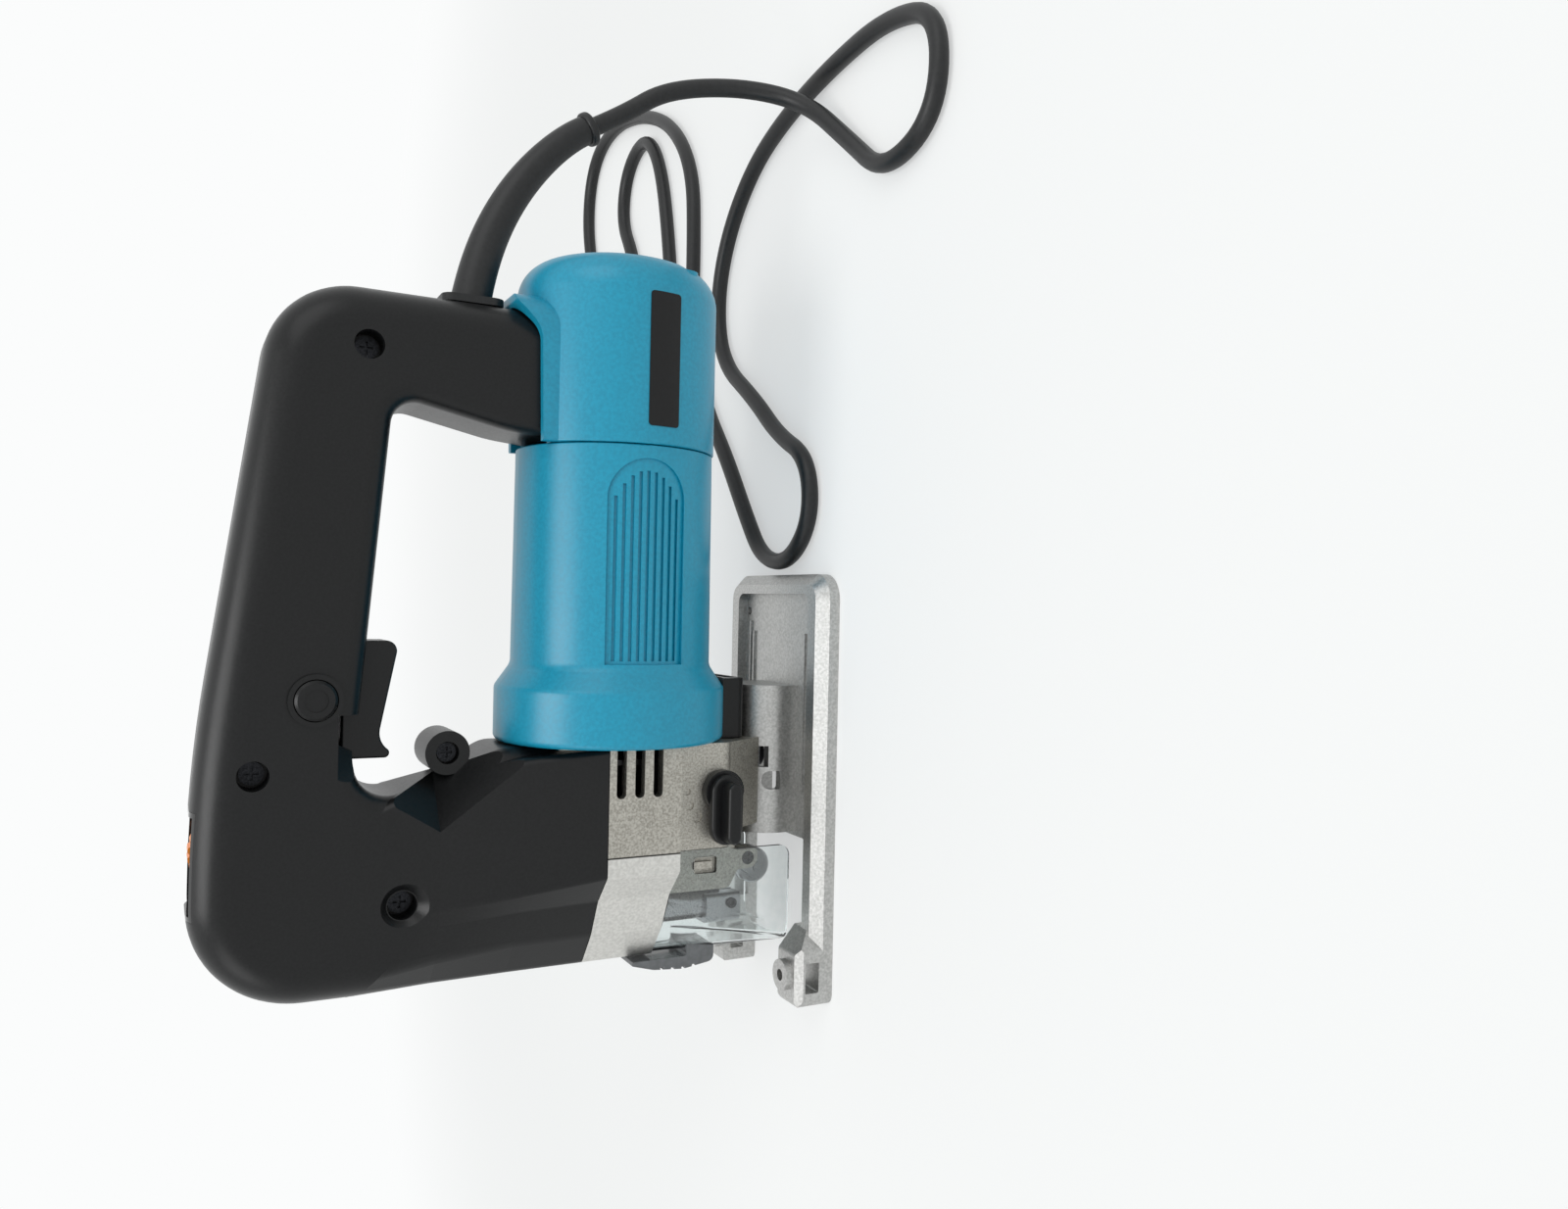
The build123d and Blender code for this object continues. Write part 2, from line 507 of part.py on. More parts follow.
# Plunger with its yoke, blade clamp
rod = rod_z(30, 146, 5.5, PLUNGER_X)
rod = chamfer(edges_near(rod, lambda m: m.Z > 145), 1)
yoke = slab_x(Pos(0, GEAR_Z) * RectangleRounded(2 * CRANK_R + 10, 15, 6.5), -97.5, -93.5)
slider_slot = slab_x(Pos(0, GEAR_Z) * RectangleRounded(2 * CRANK_R + 6.8, 6.6, 3.2), -97.5, -93)
save("plunger", rod + yoke - slider_slot)
clamp = slab_z(outline([
    (-107.4, -7.5, 2.5), (-97.0, -7.5, 2), (-97.0, 7.5, 2), (-107.4, 7.5, 2.5)]), 23, 37)
clamp -= rod_z(29.99, 40, 5.5, PLUNGER_X)
clamp -= box(-105, -96, -0.85, 0.85, 20, 33)
clamp -= rod_x(-110, -103, 2.0, 0, 27.5) + rod_y(-9, -1, 2.0, -100.5, 27.0)
save("blade_clamp", clamp)
clamp_screws = [rod_x(-108.6, -105.2, 1.98, 0, 27.5) - rod_x(-110, -107.2, 1.1, 0, 27.5),
                rod_y(-8.6, -2.2, 1.98, -100.5, 27.0) - rod_y(-10, -7.2, 1.1, -100.5, 27.0)]
save("clamp_screws", group(*clamp_screws))

# Orbit: retainer, roller and lever
reach = math.hypot(ROLLER_X - RETAINER_X, ROLLER_Z - RETAINER_Z)
lean = math.degrees(math.atan2(ROLLER_Z - RETAINER_Z, ROLLER_X - RETAINER_X))
mid_x = (ROLLER_X + RETAINER_X) / 2
mid_z = (ROLLER_Z + RETAINER_Z) / 2
cheek = Pos(mid_x, mid_z) * Rot(0, 0, lean) * SlotCenterToCenter(reach, 8)
retainer = both(slab_y(cheek, 4.6, 7.6))
retainer += rod_y(-4.7, 4.7, 4.0, RETAINER_X, RETAINER_Z)
retainer -= rod_y(-10, 10, 2.53, RETAINER_X, RETAINER_Z) + rod_y(-10, 10, 2.0, ROLLER_X, ROLLER_Z)
save("roller_retainer", retainer)
retainer_pin = rod_y(-BLOCK_HALF, BLOCK_HALF, 2.48, RETAINER_X, RETAINER_Z)
for turn in (0, 90):
    retainer_pin -= Pos(RETAINER_X, -BLOCK_HALF, RETAINER_Z) * Rot(0, turn, 0) * Box(3.4, 1.6, 0.8)
save("retainer_pin", retainer_pin)
save("roller_axle", rod_y(-8.2, 8.2, 2.0, ROLLER_X, ROLLER_Z))
roller = rod_y(-4.2, 4.2, 6.8, ROLLER_X, ROLLER_Z)
roller = chamfer(edges_near(roller, lambda m: abs(abs(m.Y) - 4.2) < 0.01), 0.8)
roller -= rod_y(-0.9, 0.9, 9, ROLLER_X, ROLLER_Z) - rod_y(-2, 2, 5.2, ROLLER_X, ROLLER_Z)
roller -= rod_y(-6, 6, 2.04, ROLLER_X, ROLLER_Z)
save("guide_roller", roller)

lever = slab_y(Pos(0, LEVER_Z) * stadium(LEVER_X - 18.8, LEVER_X + 6.2, 6.1), -35, -31.9)
lever = fillet(edges_near(lever, lambda m: abs(m.Y + 35) < 0.01), 1.2)
rib = slab_y(Pos(0, LEVER_Z) * stadium(LEVER_X - 17.6, LEVER_X + 4, 2.6), -41.5, -34.9)
rib = fillet(edges_near(rib, lambda m: abs(m.Y + 41.5) < 0.01), 1.4)
lever += rib
lever += rod_y(-31.95, -28.4, 7.4, LEVER_X, LEVER_Z)
lever -= rod_y(-34, -20, 2.5, LEVER_X, LEVER_Z)
save("orbit_lever", lever)
cam = rod_y(-28.3, -5, 4.0, LEVER_X, LEVER_Z) + rod_y(-33.9, -28.2, 2.5, LEVER_X, LEVER_Z)
cam -= box(LEVER_X - 5, LEVER_X + 5, -13, -5.0, LEVER_Z + 1.5, LEVER_Z + 5)
save("lever_cam", cam)

# Chip guard and its thumb tab
guard_feet = [(-115.5, 12, 6), (-112.8, 18.4, 4), (-107, GUARD_HALF, 6), (-75.4, GUARD_HALF, 0.3)]
guard_brow = [(-116.8, 4.2, 3.6), (-105, 13.6, 11), (-94.0, GUARD_HALF, 4), (-75.4, GUARD_HALF, 0.3)]
guard_form = loft([
    Pos(0, 0, GUARD_LOW) * outline(mirrored(guard_feet)),
    Pos(0, 0, GUARD_TOP) * outline(mirrored(guard_brow))], ruled=True)
guard_feet[-1] = (-68, GUARD_HALF, 0.3)
guard_brow[-1] = (-68, GUARD_HALF, 0.3)
guard = guard_form - loft([
    Pos(0, 0, GUARD_LOW) * outline(inset(mirrored(guard_feet), GUARD_WALL)),
    Pos(0, 0, GUARD_TOP) * outline(inset(mirrored(guard_brow), GUARD_WALL))], ruled=True)
guard &= slab_y(outline([
    (-125, 0, 0), (-125, 60, 0), (-75.4, 60, 0), (-75.4, 35, 1), (-77.7, 32, 1), (-77.7, GUARD_LOW, 4),
    (-80, GUARD_LOW - 0.01, 0), (-80, 0, 0)]), -40, 40)
guard -= slab_y(outline([
    (-85.7, 38.6, 0.8), (-79.7, 38.6, 0.8), (-79.7, 47.5, 0.8), (-85.7, 47.5, 0.8)]), -40, 40)
save("chip_guard", guard)
tab = slab_y(outline([
    (-118.5, 66, 0.4), (-119.8, 66.6, 0.4), (-122.2, 58, 6), (-123.2, 46, 10), (-121.4, 34, 2.5),
    (-113, 34, 0), (-113, 45, 0), (-118.5, 45, 1)]), -8.5, 8.5)
for k in range(4):
    tab -= rod_y(-20, 20, 0.7, -122.9 + 0.28 * (k - 1.2) ** 2, 42 + 4.2 * k)
tab -= guard_form
save("guard_tab", tab)

# Base plate
sole = outline([
    (BASE_FRONT, -BASE_HALF, 4), (BASE_REAR, -BASE_HALF, 10), (BASE_REAR, BASE_HALF, 10),
    (BASE_FRONT, BASE_HALF, 4), (BASE_FRONT, PRONG_IN, 3), (-75.5, PRONG_IN, 3),
    (-75.5, -PRONG_IN, 3), (BASE_FRONT, -PRONG_IN, 3)])
base = slab_z(plan(BASE_FRONT, BASE_REAR, BASE_HALF, 0, 10), 0, 8)
border = base.edges().filter_by(lambda e: abs((e @ 0.5).Z - 8) < 0.01)
border = border.filter_by(lambda e: abs((e @ 0.5).Y) > 34 or (e @ 0.5).X > 20)
base = chamfer(border, 3.9)
base &= slab_z(sole, -1, 9)
base -= slab_z(outline([
    (-107, -29.5, 2), (17, -29.5, 4), (17, 29.5, 4), (-107, 29.5, 2)]), 4, 12)
for s in (-1, 1):
    y0, y1 = sorted((s * PRONG_IN, s * BASE_HALF))
    block = slab_y(outline([
        (BASE_FRONT, 3, 0), (BASE_FRONT, 14.5, 3), (-114.5, 14.5, 2), (-106.5, 7.8, 0),
        (-106.5, 3, 0)]), y0, y1)
    block &= slab_z(outline([
        (BASE_FRONT, s * 39, 4), (-113.2, s * 39, 2), (-104, s * 31, 0), (-104, s * PRONG_IN, 0),
        (BASE_FRONT, s * PRONG_IN, 3)]), 0, 20)
    block &= slab_x(outline([
        (s * 39, 0, 0), (s * 39, 12, 0), (s * 36, 15, 0), (s * 20, 15, 0), (s * 20, 0, 0)]), -140, -100)
    base += block
    base += rod_z(10, 17, 5.6, -123, s * 30)
    base -= slab_y(outline([
        (-128.4, 5.6, 0.6), (-117.4, 5.6, 0.6), (-117.4, 11.2, 0.6), (-128.4, 11.2, 0.6)]), y0 - 2, y1 + 2)
    base -= rod_z(10, 20, 2.1, -123, s * 30)
    for hx in (-100, 10):
        base -= rod_z(-1, 6, 1.6, hx, s * 27)
    base += box(-40, 6, s * 24.5 - 0.45, s * 24.5 + 0.45, 3.5, 4.9)
    base += box(-58, 2, s * 21.5 - 0.45, s * 21.5 + 0.45, 3.5, 4.9)
hump = rod_x(-74, -18, HUMP_R, 0, TILT_Z) & box(-80, 0, -20, 20, TILT_Z, 40)
hump += box(-74, -18, -HUMP_R, HUMP_R, 0, TILT_Z)
base += hump
base -= rod_x(-73, -21, HUMP_R - 3.5, 0, TILT_Z) + box(-73, -21, 3.5 - HUMP_R, HUMP_R - 3.5, -1, TILT_Z)
base -= box(-49, -41, -14.4, 14.4, 15.2, 30)
base -= slab_y(outline([(-57.5, 10.5, 1), (-50.5, 10.5, 1), (-50.5, 17.5, 3), (-57.5, 17.5, 3)]), -20, 20)
save("base_plate", base)

washer = tube_x(-51.5, -38.5, HUMP_R - 3.8, 8.2, TILT_Z) & box(-60, -30, -6.4, 6.4, 12, 30)
washer -= rod_z(0, 40, 3.1, -45)
save("bolt_washer", washer)
head_top = TILT_Z + 8.2
bolt = rod_z(12.4, head_top, 5.0, -45) & rod_x(-60, -30, 8.19, 0, TILT_Z)
bolt += rod_z(15, 46, 3.0, -45)
bolt -= slab_z(RegularPolygon(2.5, 6), 10, 15.5).moved(Location((-45, 0, 0)))
save("base_bolt", bolt)

# Dust nozzle below the flange
nozzle = slab_x(outline([(-14, 25.6, 3), (14, 25.6, 3), (14, 44, 0), (-14, 44, 0)]), FLANGE_X + 0.1, -15)
nozzle -= rod_x(-60, 0, FLANGE_R + 0.05, 0, MOTOR_Z)
nozzle -= slab_x(outline([(-9, 27.2, 1.5), (9, 27.2, 1.5), (9, 31.2, 1.5), (-9, 31.2, 1.5)]), -32, -10)
save("dust_nozzle", nozzle)

# Cord sleeve, lead and plug
sleeve_path = Spline(
    (113.2, 0, 127.8), (145, 0, 118.6), (163, 0, 107.9), (175.2, 0, 97.2), (184, 0, 85.4),
    tangents=[(1, 0, -0.16), (0.52, 0, -0.85)])
rings = []
for i in range(7):
    t = i / 6
    place = Plane(origin=sleeve_path @ t, z_dir=sleeve_path % t)
    rings.append(place * Circle(6.9 - 2.0 * t))
sleeve = loft(rings)
tip = sleeve_path @ 1
tip_way = sleeve_path % 1
bead = Plane(origin=tip - tip_way * 3.0, z_dir=tip_way) * Pos(0, 0, 1.5) * Cylinder(6.0, 3.0)
bead = fillet(bead.edges(), 1.0)
sleeve += bead
sleeve += slab_x(Pos(0, 127.8) * RectangleRounded(17, 21, 4), 113.05, 115.6)
sleeve += rod_x(106, 113.5, 7.0, 0, 127.8) + rod_x(105.6, 109.2, 9.5, 0, 127.8)
save("cord_sleeve", sleeve)

floor_z = CORD_R + 0.1
lead_points = [tuple(tip), tuple(tip + tip_way * 14)]
lead_points += [(203, -3, 58), (208, -9, 30), (202, -22, 9)]
flat_points = [
    (181, -44.5), (161.5, -68.5), (171, -99.5), (204.5, -100), (215, -69.5), (213.5, -32), (207.5, 4),
    (196.5, 34),
    (174, 58), (146, 68), (118, 60), (98, 28), (80.5, 6), (69.4, -18.4), (45.6, -22.6), (28.9, -5.4),
    (31.4, 17.9), (50, 34), (76, 54), (104, 80), (140, 96), (180, 95), (216, 98), (246, 124),
    (266, 166), (275, 212), (265, 244), (234, 253), (198, 240), (156, 229), (110, 222), (64, 220),
    (18, 222), (-24, 216), (-41, 192), (-28, 165), (4, 157), (44, 153), (84, 152.5), (124, 155.5),
    (162, 162), (194, 175), (218, 194), (244, 187), (253, 160), (232, 139), (190, 126), (146, 119),
    (100, 116), (54, 116.5), (20, 118.5)]
lead_points += [(x, y, floor_z) for x, y in flat_points]
lead_points += [(0, 120.5, 5.6), (-18, 123, 6.9)]
spots = [Vector(*p) for p in lead_points]
bends = []
for a, b, c in zip(spots, spots[1:], spots[2:]):
    turn = (b - a).get_angle(c - b)
    bends.append(0.45 * min((b - a).length, (c - b).length) / math.tan(math.radians(turn) / 2))
lead_wire = FilletPolyline(*spots, radius=bends)
lead_face = Plane(origin=spots[0], z_dir=spots[1] - spots[0]) * Circle(CORD_R)
lead = sweep(lead_face, path=lead_wire)
print("cord bend radii mm", [round(r, 1) for r in bends])
print("least bend", round(min(bends), 1), "length", round(lead_wire.length, 1))
print("tube volume", round(lead.volume, 1))
print("section x length", round(math.pi * CORD_R ** 2 * lead_wire.length, 1))
samples = [lead_wire @ (i / 600) for i in range(601)]
step = lead_wire.length / 600
apart = [(samples[i] - samples[j]).length for i in range(601) for j in range(i + int(45 / step), 601)]
print("least gap between strands", round(min(apart) - 2 * CORD_R, 1))
save("power_cord", lead)

end = spots[-1]
way = (spots[-1] - spots[-2]).normalized()
plug_plane = Plane(origin=end, x_dir=way.cross(Vector(0, 0, 1)), z_dir=way)
plug = loft([
    plug_plane * RectangleRounded(11, 9, 3), plug_plane.offset(12) * RectangleRounded(15, 12, 3.5),
    plug_plane.offset(24) * RectangleRounded(26, 13, 4), plug_plane.offset(36) * RectangleRounded(26, 13, 4)])
save("plug_body", plug)
pins = []
for s in (-9.3, 9.3):
    pin = plug_plane.offset(36) * Pos(s, 0, 9.5) * Cylinder(2.0, 19)
    pins.append(pin)
save("plug_pins", group(*pins))
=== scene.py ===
"""Looks of a corded orbital jigsaw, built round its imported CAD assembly. Metres; front is -X, up is +Z."""

import json
import math

import bpy
from mathutils import Matrix, Vector


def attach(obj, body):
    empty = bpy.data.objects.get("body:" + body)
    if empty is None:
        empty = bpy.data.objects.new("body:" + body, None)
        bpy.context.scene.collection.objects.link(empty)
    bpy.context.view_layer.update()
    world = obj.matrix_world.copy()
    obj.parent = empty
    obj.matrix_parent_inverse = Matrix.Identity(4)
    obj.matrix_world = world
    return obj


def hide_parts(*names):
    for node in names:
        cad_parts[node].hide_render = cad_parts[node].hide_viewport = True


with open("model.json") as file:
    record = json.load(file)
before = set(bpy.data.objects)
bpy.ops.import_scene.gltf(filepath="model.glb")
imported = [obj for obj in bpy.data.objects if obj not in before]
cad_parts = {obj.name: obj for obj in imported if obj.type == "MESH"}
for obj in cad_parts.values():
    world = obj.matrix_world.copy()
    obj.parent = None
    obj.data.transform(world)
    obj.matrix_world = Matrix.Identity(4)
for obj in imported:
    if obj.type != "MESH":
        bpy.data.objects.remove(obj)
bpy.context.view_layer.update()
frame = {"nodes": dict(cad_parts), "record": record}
nodes = frame["nodes"]
scene = bpy.context.scene
MM = 0.001

# Camera: the left side seen a little from above, with the tool's top towards the left of the picture
CAMERA_SPOT = Vector((12.9, -410.5, 220.7))
PITCH = math.radians(28.0)
ROLL = math.radians(1.2)
forward = Vector((0, math.cos(PITCH), -math.sin(PITCH)))
level_right = Vector((0, -math.sin(PITCH), -math.cos(PITCH)))
level_down = Vector((-1, 0, 0))
right = level_right * math.cos(ROLL) - level_down * math.sin(ROLL)
down = level_right * math.sin(ROLL) + level_down * math.cos(ROLL)
camera = bpy.data.objects.new("camera", bpy.data.cameras.new("camera"))
camera.data.sensor_width = 36.0
camera.data.lens = 27.0
camera.data.clip_start = 0.01
turn = Matrix((right, -down, -forward)).transposed().to_4x4()
camera.matrix_world = Matrix.Translation(CAMERA_SPOT * MM) @ turn
scene.collection.objects.link(camera)
scene.camera = camera

# Cord: the route's points in mm, from the tip of the strain sleeve to the plug
CORD_R = 3.3
LYING_Z = 3.4
sleeve_tip = Vector((184, 0, 85.4))
lead_way = Vector((0.522, 0, -0.853)).normalized()
STRAIGHT_OUT = 14
lead_points = [sleeve_tip, sleeve_tip + lead_way * STRAIGHT_OUT]
lead_points += [Vector(p) for p in ((203, -3, 58), (208, -9, 30), (202, -22, 9))]
flat_points = [
    (181, -44.5), (161.5, -68.5), (171, -99.5), (204.5, -100), (215, -69.5), (213.5, -32), (207.5, 4),
    (196.5, 34), (174, 58), (146, 68), (118, 60), (98, 28), (80.5, 6), (69.4, -18.4), (45.6, -22.6),
    (28.9, -5.4), (31.4, 17.9), (50, 34), (76, 54), (104, 80), (140, 96), (180, 95), (216, 98), (246, 124),
    (266, 166), (275, 212), (265, 244), (234, 253), (198, 240), (156, 229), (110, 222), (64, 220),
    (18, 222), (-24, 216), (-41, 192), (-28, 165), (4, 157), (44, 153), (84, 152.5), (124, 155.5),
    (162, 162), (194, 175), (218, 194), (244, 187), (253, 160), (232, 139), (190, 126), (146, 119),
    (100, 116), (54, 116.5), (20, 118.5)]
lead_points += [Vector((x, y, LYING_Z)) for x, y in flat_points]
lead_points += [Vector((0, 120.5, 5.6)), Vector((-18, 123, 6.9))]
lead_curve = bpy.data.curves.new("power_lead", "CURVE")
lead_curve.dimensions = "3D"
lead_curve.resolution_u = 10
lead_curve.bevel_depth = CORD_R * MM
lead_curve.bevel_resolution = 6
lead_curve.use_fill_caps = True
spline = lead_curve.splines.new("NURBS")
spline.points.add(len(lead_points) - 1)
for point, spot in zip(spline.points, lead_points):
    point.co = (*(spot * MM), 1.0)
spline.use_endpoint_u = True
spline.order_u = 3
lead = bpy.data.objects.new("power_lead", lead_curve)
scene.collection.objects.link(lead)


def linear(code):
    """sRGB hex to a linear colour with alpha 1."""
    parts = [int(code[i:i + 2], 16) / 255 for i in (1, 3, 5)]
    return (*[p / 12.92 if p <= 0.04045 else ((p + 0.055) / 1.055) ** 2.4 for p in parts], 1.0)


def add(tree, kind, values=None, links=None, **settings):
    """One node with its settings, socket values and incoming links."""
    node = tree.nodes.new(kind)
    for name, value in settings.items():
        setattr(node, name, value)
    for socket, value in (values or {}).items():
        node.inputs[socket].default_value = value
    for socket, source in (links or {}).items():
        tree.links.new(source, node.inputs[socket])
    return node


# Size of the slow change of gloss that keeps large faces from looking printed
DRIFT_MM = 35


def skin(name, light, dark, rough, grain_mm, depth_mm, seam=None, **sockets):
    """A surface with a fine grain: two close tones, uneven gloss and a shallow relief of one size.

    A moulded or blasted grain is about 0.1 mm, too fine to show, so grain_mm is drawn several times coarser.
    With seam, the line where two pieces meet is drawn in shadow: its axis, its place on it and its half
    width in mm. Any other name is a socket of the shader.
    """
    material = bpy.data.materials.new(name)
    material.use_nodes = True
    tree = material.node_tree
    shader = tree.nodes["Principled BSDF"]
    for socket, value in sockets.items():
        shader.inputs[socket.replace("_", " ").title().replace("Ior", "IOR")].default_value = value
    place = add(tree, "ShaderNodeTexCoord").outputs["Object"]
    grain = add(tree, "ShaderNodeTexNoise", {"Scale": 1 / (grain_mm * MM), "Detail": 3.0}, {"Vector": place})
    broad = add(tree, "ShaderNodeTexNoise", {"Scale": 1 / (DRIFT_MM * MM), "Detail": 2.0}, {"Vector": place})
    tone = add(tree, "ShaderNodeValToRGB", links={"Fac": grain.outputs["Fac"]})
    tone.color_ramp.elements[0].position = 0.35
    tone.color_ramp.elements[0].color = linear(dark)
    tone.color_ramp.elements[1].position = 0.65
    tone.color_ramp.elements[1].color = linear(light)
    colour = tone.outputs["Color"]
    if seam:
        axis, at, half = seam
        parts = add(tree, "ShaderNodeSeparateXYZ", links={"Vector": place})
        aside = add(tree, "ShaderNodeMath", {1: at * MM}, {0: parts.outputs[axis]}, operation="SUBTRACT")
        aside = add(tree, "ShaderNodeMath", links={0: aside.outputs[0]}, operation="ABSOLUTE")
        shade = add(tree, "ShaderNodeMapRange", {"From Min": 0.4 * half * MM, "From Max": half * MM,
                                                 "To Min": 0.12, "To Max": 1.0}, {"Value": aside.outputs[0]})
        colour = add(tree, "ShaderNodeVectorMath", links={0: colour, 1: shade.outputs["Result"]},
                     operation="MULTIPLY").outputs["Vector"]
    tree.links.new(colour, shader.inputs["Base Color"])
    gloss = add(tree, "ShaderNodeMapRange", {"To Min": rough[0], "To Max": rough[1]},
                {"Value": grain.outputs["Fac"]})
    drift = add(tree, "ShaderNodeMapRange", {"To Min": 0.85, "To Max": 1.15}, {"Value": broad.outputs["Fac"]})
    gloss = add(tree, "ShaderNodeMath", links={0: gloss.outputs["Result"], 1: drift.outputs["Result"]},
                operation="MULTIPLY")
    tree.links.new(gloss.outputs[0], shader.inputs["Roughness"])
    relief = add(tree, "ShaderNodeBump", {"Strength": 1.0, "Distance": depth_mm * MM},
                 {"Height": grain.outputs["Fac"]})
    tree.links.new(relief.outputs["Normal"], shader.inputs["Normal"])
    return material


# Glass-filled nylon from a spark-eroded mould: deep black with a soft sheen on its roundings
BLACK_NYLON = dict(light="#111213", dark="#0b0c0d", rough=(0.28, 0.4), grain_mm=0.9, depth_mm=0.02,
                   specular_ior_level=0.3)
# Die-cast aluminium as it leaves the blast cabinet: pale grey, pitted and half dull
BLASTED_CASTING = dict(light="#bdbab2", dark="#96938b", rough=(0.4, 0.58), grain_mm=0.7, depth_mm=0.06,
                       metallic=1.0)
# Where the two grip shells meet, and where the nose meets the gear housing
SHELL_SEAM = ("Y", 0.0, 0.35)
NOSE_SEAM = ("X", -75.05, 0.4)

finishes = {
    "black_plastic": skin("grained_black_nylon", **BLACK_NYLON),
    # Dyed nylon from a smoother mould: a clean satin colour
    "teal_plastic": skin("satin_teal_nylon", "#1094b4", "#0d8aa9", (0.3, 0.42), 1.2, 0.01),
    "cast_aluminium": skin("blasted_cast_aluminium", **BLASTED_CASTING),
    # Turned and ground steel: mid grey with a clear, slightly drawn-out highlight
    "steel": skin("ground_steel", "#a3a4a6", "#8c8d90", (0.22, 0.36), 0.5, 0.008, metallic=1.0),
    # Blackened screws and pins: dark steel under oil
    "black_steel": skin("blackened_steel", "#303134", "#1e1f21", (0.3, 0.45), 0.5, 0.008, metallic=1.0),
    # Sintered bronze: warm, with open pores
    "bronze": skin("sintered_bronze", "#b48a4e", "#94703c", (0.4, 0.55), 0.4, 0.02, metallic=1.0),
    # Copper wire under amber enamel: reddish brown and glossy
    "copper": skin("enamelled_copper", "#b9683a", "#8d4a26", (0.25, 0.4), 0.8, 0.05, metallic=1.0),
    # Pressed carbon: dark grey and dull
    "graphite": skin("pressed_graphite", "#3a3a3b", "#2c2c2d", (0.5, 0.65), 0.5, 0.01),
    # Black flex rubber, wiped clean: soft sheen, hardly any grain
    "cord_rubber": skin("flex_rubber", "#1c1d1e", "#151617", (0.38, 0.5), 1.5, 0.008,
                        specular_ior_level=0.4),
    # Nickel-plated brass: bright and a little warm
    "plated_pins": skin("nickel_plate", "#d2cfc8", "#c4c0b8", (0.12, 0.22), 0.7, 0.004, metallic=1.0),
    # Polished black acrylic of the dial window: a mirror over black
    "gloss_black": skin("polished_black_acrylic", "#141415", "#101011", (0.06, 0.12), 2.0, 0.004),
    # Acetal dial: bright orange with a waxy sheen
    "orange_plastic": skin("orange_acetal", "#ef8a12", "#e27c0c", (0.3, 0.42), 1.0, 0.01),
    # Clear polycarbonate of the chip guard, faintly scuffed
    "clear_plastic": skin("clear_polycarbonate", "#f4f8f8", "#eef4f4", (0.02, 0.09), 3.0, 0.004,
                          transmission_weight=1.0, ior=1.58),
    # The thick finger tab of the guard: the same plastic, grey by its depth
    "smoke_plastic": skin("smoky_polycarbonate", "#74777a", "#686b6e", (0.12, 0.22), 2.0, 0.006,
                          transmission_weight=0.35, ior=1.58),
    # Pressed wool felt: grey-brown, with no sheen
    "felt": skin("pressed_felt", "#6a645a", "#4c473f", (0.85, 0.95), 0.5, 0.1),
}
shell_finish = skin("grained_black_nylon_shell", seam=SHELL_SEAM, **BLACK_NYLON)
# The nose and the sole are drawn smoother and brighter than the gear housing; the sole's tones are also set
# lower as painted shade, for the shadow the motor casts on the base
nose_finish = skin("bright_smooth_cast_aluminium", "#d8d7d3", "#c6c5c1", (0.34, 0.48), 1.1, 0.02, seam=NOSE_SEAM,
                   metallic=1.0)
gear_finish = skin("blasted_cast_aluminium_column", seam=NOSE_SEAM, **BLASTED_CASTING)
# Painted shade: the sole's two tones are lowered to stand for the motor's shadow on it
sole_finish_and_painted_shade = skin("cast_aluminium_sole_painted_shade", "#c2c2c0", "#a8a8a6", (0.34, 0.5), 0.9, 0.035, metallic=1.0)
# The label place is satin rather than polished
label_finish = skin("satin_black_foil", "#101011", "#0c0c0d", (0.28, 0.36), 2.0, 0.004,
                    specular_ior_level=0.3)
special = {"handle_left": shell_finish, "handle_right": shell_finish, "nose_cover": nose_finish,
           "gear_housing": gear_finish, "base_plate": sole_finish_and_painted_shade}
for subpart in frame["record"]["subparts"]:
    data = nodes[subpart["node"]].data
    data.materials.clear()
    data.materials.append(special.get(subpart["node"], finishes[subpart["material_slot"]]))
lead_curve.materials.append(finishes["cord_rubber"])

# Label place on the left of the rear cover: a bare black plate bent round the motor's drum, sizes in mm
PLATE_X = (72.9, 118.8)
PLATE_Z = (63.4, 75.0)
PLATE_CORNER = 1.2
PLATE_LIFT = 0.05
PLATE_THICK = 0.25
DRUM_R = 36.0
MOTOR_Z = 74.0


def bent_plate(name, ends, edges, corner, lift, thick):
    """A sheet with round corners that follows the drum of the motor, lifted off it by a hair."""
    corner_steps = 6
    bands = 8
    x0, x1 = ends
    z0, z1 = edges
    steps = [corner * (1 - math.cos(math.radians(90 * k / corner_steps))) for k in range(corner_steps + 1)]
    rows = [z0 + d for d in steps]
    rows += [z0 + corner + (z1 - z0 - 2 * corner) * k / bands for k in range(1, bands)]
    rows += [z1 - d for d in reversed(steps)]
    verts = []
    for z in rows:
        edge = max(corner - min(z - z0, z1 - z), 0.0)
        drawn_in = corner - math.sqrt(corner ** 2 - edge ** 2)
        lean = (z - MOTOR_Z) / DRUM_R
        for r in (DRUM_R + lift + thick, DRUM_R + lift):
            for x in (x0 + drawn_in, x1 - drawn_in):
                verts.append((x * MM, -r * math.cos(lean) * MM, (MOTOR_Z + r * math.sin(lean)) * MM))
    faces = [(0, 2, 3, 1)]
    for k in range(len(rows) - 1):
        a, b = 4 * k, 4 * k + 4
        faces += [(a, a + 1, b + 1, b), (a + 3, a + 2, b + 2, b + 3)]
        faces += [(a + 2, a, b, b + 2), (a + 1, a + 3, b + 3, b + 1)]
    last = 4 * (len(rows) - 1)
    faces.append((last, last + 1, last + 3, last + 2))
    mesh = bpy.data.meshes.new(name)
    mesh.from_pydata(verts, [], faces)
    mesh.update()
    made = bpy.data.objects.new(name, mesh)
    scene.collection.objects.link(made)
    return made


plate = bent_plate("label_plate", PLATE_X, PLATE_Z, PLATE_CORNER, PLATE_LIFT, PLATE_THICK)
plate.data.materials.append(label_finish)
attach(plate, "housing")

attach(lead, "housing")
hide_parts("power_cord")

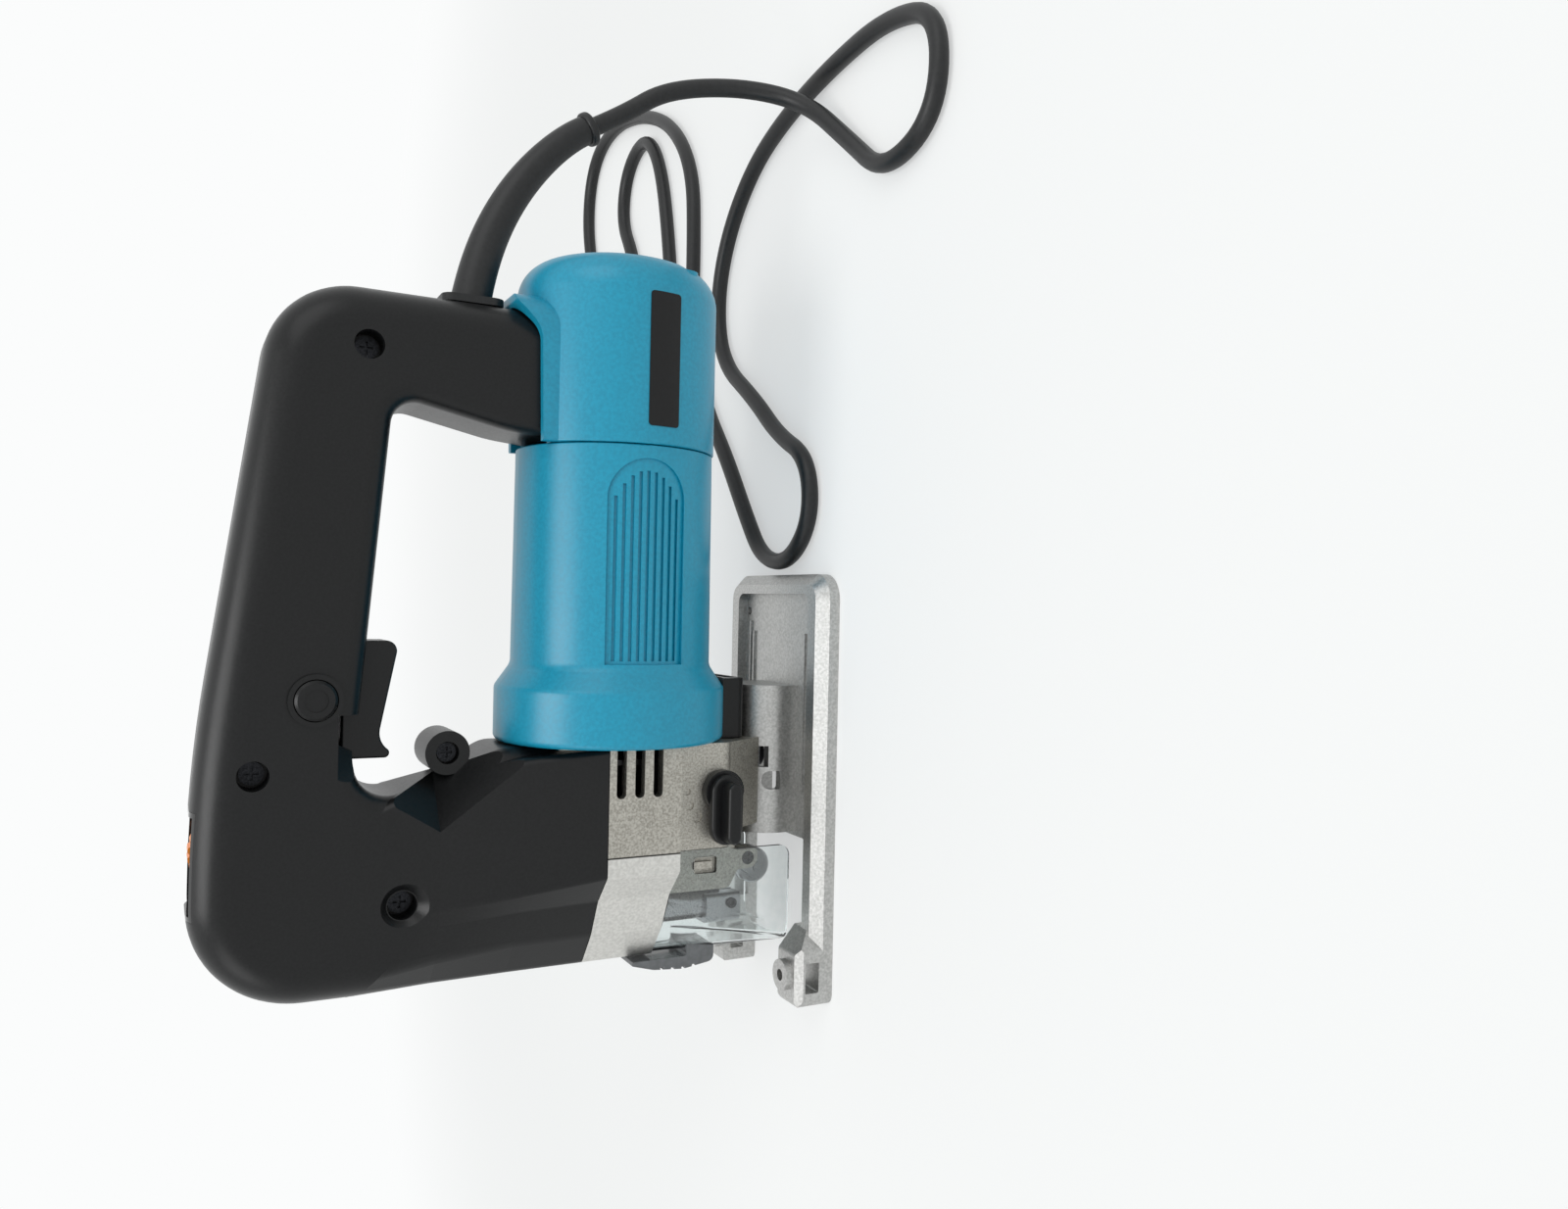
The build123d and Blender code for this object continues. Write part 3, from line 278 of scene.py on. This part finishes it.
# Stage, in metres: a pale floor that fades to white, white surroundings, three soft lamps
FLOOR_HALF = 30
FLOOR_DROP = 0.2 * MM
FADE_FROM = 0.35
FADE_TO = 1.0
NEAR_WHITE = linear("#fbfcfc")
LAMP_AIM = Vector((0, 0, 0.1))


def seen_by_eye(tree):
    """1 for rays from the camera and those that metal or clear plastic pass on, 0 for light on matt faces."""
    rays = add(tree, "ShaderNodeLightPath").outputs
    seen = rays["Is Camera Ray"]
    for kind in ("Is Glossy Ray", "Is Transmission Ray"):
        seen = add(tree, "ShaderNodeMath", links={0: seen, 1: rays[kind]}, operation="MAXIMUM").outputs[0]
    return seen


corners = [(x * FLOOR_HALF, y * FLOOR_HALF, 0) for x, y in ((-1, -1), (1, -1), (1, 1), (-1, 1))]
floor_mesh = bpy.data.meshes.new("floor")
floor_mesh.from_pydata(corners, [], [(0, 1, 2, 3)])
floor = bpy.data.objects.new("floor", floor_mesh)
floor.location.z = -FLOOR_DROP
scene.collection.objects.link(floor)
# Matt paint that keeps the shadow near the object and goes over into white further off
floor_paint = bpy.data.materials.new("floor_paint")
floor_paint.use_nodes = True
tree = floor_paint.node_tree
tree.nodes.clear()
place = add(tree, "ShaderNodeTexCoord").outputs["Object"]
away = add(tree, "ShaderNodeVectorMath", links={0: place}, operation="LENGTH")
far = add(tree, "ShaderNodeMapRange", {"From Min": FADE_FROM, "From Max": FADE_TO,
                                       "To Min": 0.5, "To Max": 1.0},
          {"Value": away.outputs["Value"]}, interpolation_type="SMOOTHSTEP")
amount = add(tree, "ShaderNodeMath", links={0: seen_by_eye(tree), 1: far.outputs["Result"]},
             operation="MULTIPLY")
matt = add(tree, "ShaderNodeBsdfDiffuse", {"Color": linear("#eef0ef")})
white = add(tree, "ShaderNodeEmission", {"Color": NEAR_WHITE, "Strength": 1.0})
mixed = add(tree, "ShaderNodeMixShader", links={
    0: amount.outputs[0], 1: matt.outputs[0], 2: white.outputs[0]})
add(tree, "ShaderNodeOutputMaterial", links={"Surface": mixed.outputs[0]})
floor_mesh.materials.append(floor_paint)

world = bpy.data.worlds.new("studio")
scene.world = world
world.use_nodes = True
tree = world.node_tree
tree.nodes.clear()
level = add(tree, "ShaderNodeMapRange", {"To Min": 0.6, "To Max": 1.0}, {"Value": seen_by_eye(tree)})
sky = add(tree, "ShaderNodeBackground", {"Color": NEAR_WHITE}, {"Strength": level.outputs["Result"]})
add(tree, "ShaderNodeOutputWorld", links={"Surface": sky.outputs[0]})

for name, spot, size, power in (
        ("overhead_lamp", (-0.1, -0.25, 1.3), 0.65, 6.5),
        ("rear_lamp", (0.9, -0.6, 0.7), 0.8, 2.5),
        ("front_lamp", (-0.9, -0.5, 0.7), 0.5, 1.5)):
    lamp = bpy.data.objects.new(name, bpy.data.lights.new(name, "AREA"))
    lamp.data.size = size
    lamp.data.energy = power
    lamp.location = spot
    lamp.rotation_mode = "QUATERNION"
    lamp.rotation_quaternion = (LAMP_AIM - Vector(spot)).to_track_quat("-Z", "Y")
    scene.collection.objects.link(lamp)

scene.view_settings.view_transform = "Standard"
